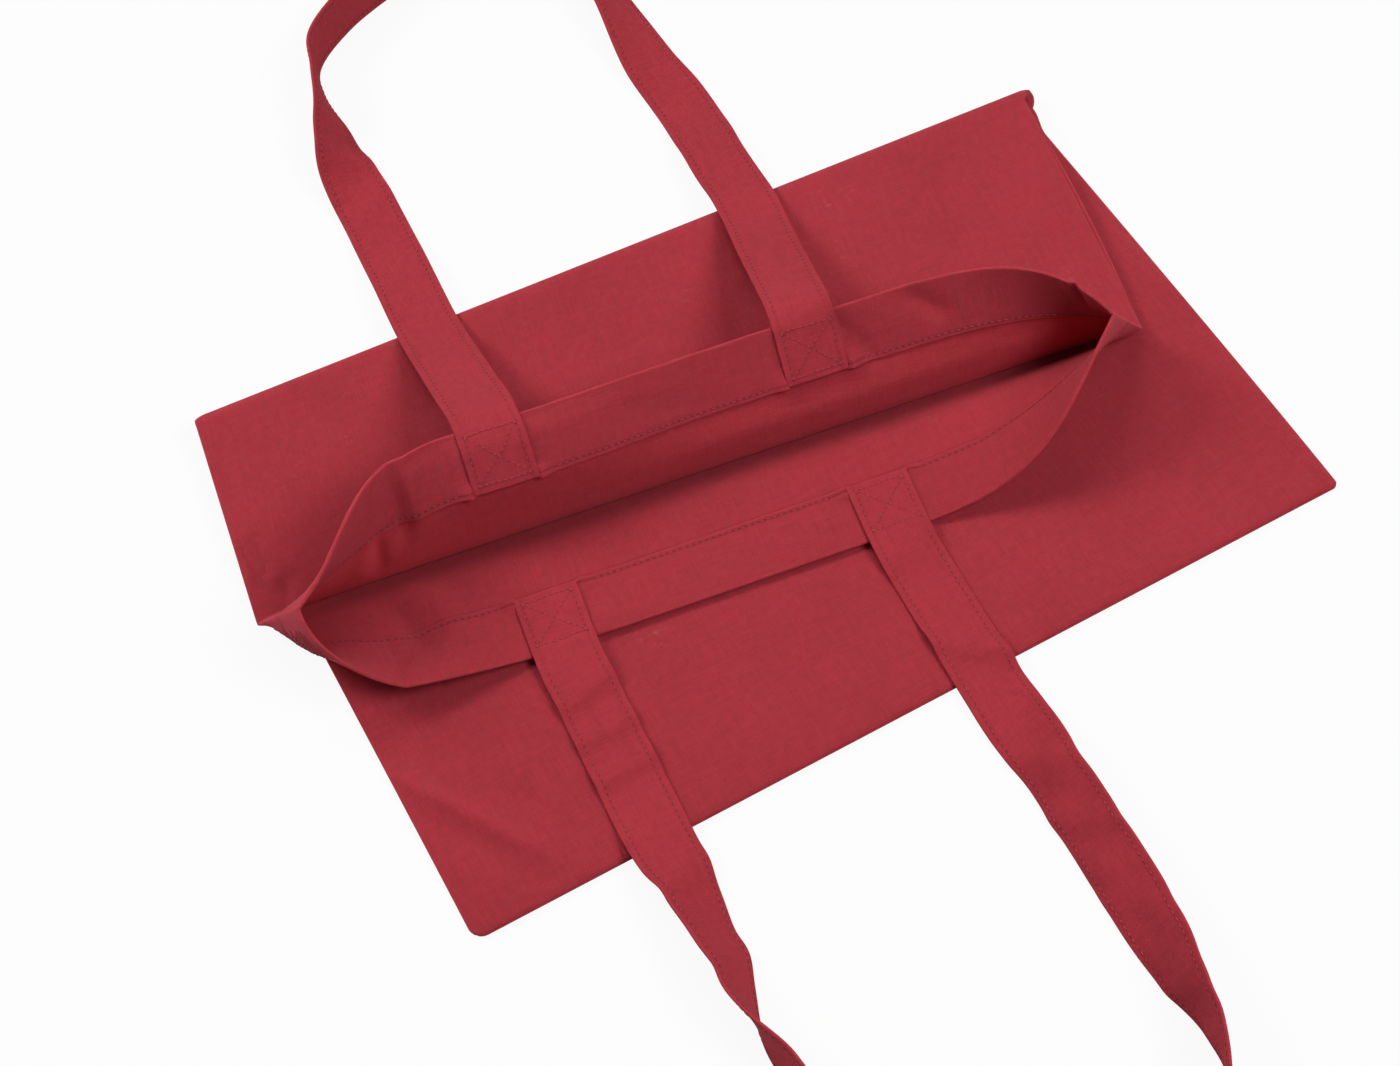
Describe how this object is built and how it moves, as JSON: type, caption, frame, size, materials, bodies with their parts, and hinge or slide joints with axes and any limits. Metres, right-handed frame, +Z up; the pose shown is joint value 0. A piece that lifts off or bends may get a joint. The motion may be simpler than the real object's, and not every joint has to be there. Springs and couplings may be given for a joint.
{
  "type": "tote bag",
  "caption": "Cotton tote bag with two long strap handles, lying folded over once with its hemmed mouth part open.",
  "frame": {"origin": "middle of the flat underside of the lower back panel, on the table", "axes": "+X along the bag's bottom edge to the right, +Y from the bottom edge towards the fold, +Z up from the table"},
  "size_m": [0.3986, 0.6339, 0.0597],
  "materials": {
    "cotton": "matt plain-weave cotton",
    "tape": "folded cotton strap, stitched along both edges",
    "thread": "sewing thread in the cloth's colour"
  },
  "bodies": {
    "base": {"back_panel_lower": "cotton", "front_panel_lower": "cotton", "bottom_seam": "cotton", "left_side_seam_lower": "cotton", "right_side_seam_lower": "cotton", "outer_fold": "cotton", "inner_fold": "cotton"},
    "top": {"back_panel_upper": "cotton", "front_panel_upper": "cotton", "left_side_seam_upper": "cotton", "right_side_seam_upper": "cotton", "front_flap": "cotton", "front_hem": "cotton", "front_hem_stitch": "thread", "front_strap_end_left": "tape", "front_strap_end_right": "tape", "front_box_stitch_left": "thread", "front_box_stitch_right": "thread", "left_mouth_corner": "cotton", "right_mouth_corner": "cotton"},
    "back_rim": {"back_flap": "cotton", "back_hem": "cotton", "back_hem_stitch": "thread", "back_strap_end_left": "tape", "back_strap_end_right": "tape", "back_box_stitch_left": "thread", "back_box_stitch_right": "thread"},
    "back_handle": {"back_strap_left": "tape", "back_strap_right": "tape", "back_strap_bend_left": "tape", "back_strap_bend_right": "tape"},
    "back_handle_far": {"back_strap_loop": "tape"},
    "front_handle": {"front_strap_left": "tape", "front_strap_right": "tape", "front_strap_loop": "tape"}
  },
  "joints": [
    {"name": "fold_hinge", "type": "hinge", "parent": "base", "child": "top", "pos_m": [0, 0.112, 0.0066], "axis": [-0.9982, 0.0593, 0], "range_deg": [0, 95], "deforming": ["outer_fold", "inner_fold"]},
    {"name": "mouth_hinge", "type": "hinge", "parent": "top", "child": "back_rim", "pos_m": [-0.02442, 0.01017, 0.0081], "axis": [0.99, -0.1409, 0], "range_deg": [0, 25], "deforming": ["left_mouth_corner", "right_mouth_corner"]},
    {"name": "back_handle_swing", "type": "hinge", "parent": "back_rim", "child": "back_handle", "pos_m": [-0.0347, 0.04298, 0.04685], "axis": [0.99, -0.1409, 0], "range_deg": [0, 60]},
    {"name": "back_strap_bend", "type": "hinge", "parent": "back_handle", "child": "back_handle_far", "pos_m": [0, 0.112, 0.0066], "axis": [-0.9982, 0.0593, 0], "range_deg": [-95, 0], "deforming": ["back_strap_bend_left", "back_strap_bend_right"]},
    {"name": "front_handle_swing", "type": "hinge", "parent": "top", "child": "front_handle", "pos_m": [-0.04482, -0.03807, 0.0076], "axis": [-0.99, 0.1409, 0], "range_deg": [0, 45]}
  ],
  "couplings": [
    {"joint": "back_strap_bend", "follows": "fold_hinge", "ratio": -1}
  ]
}
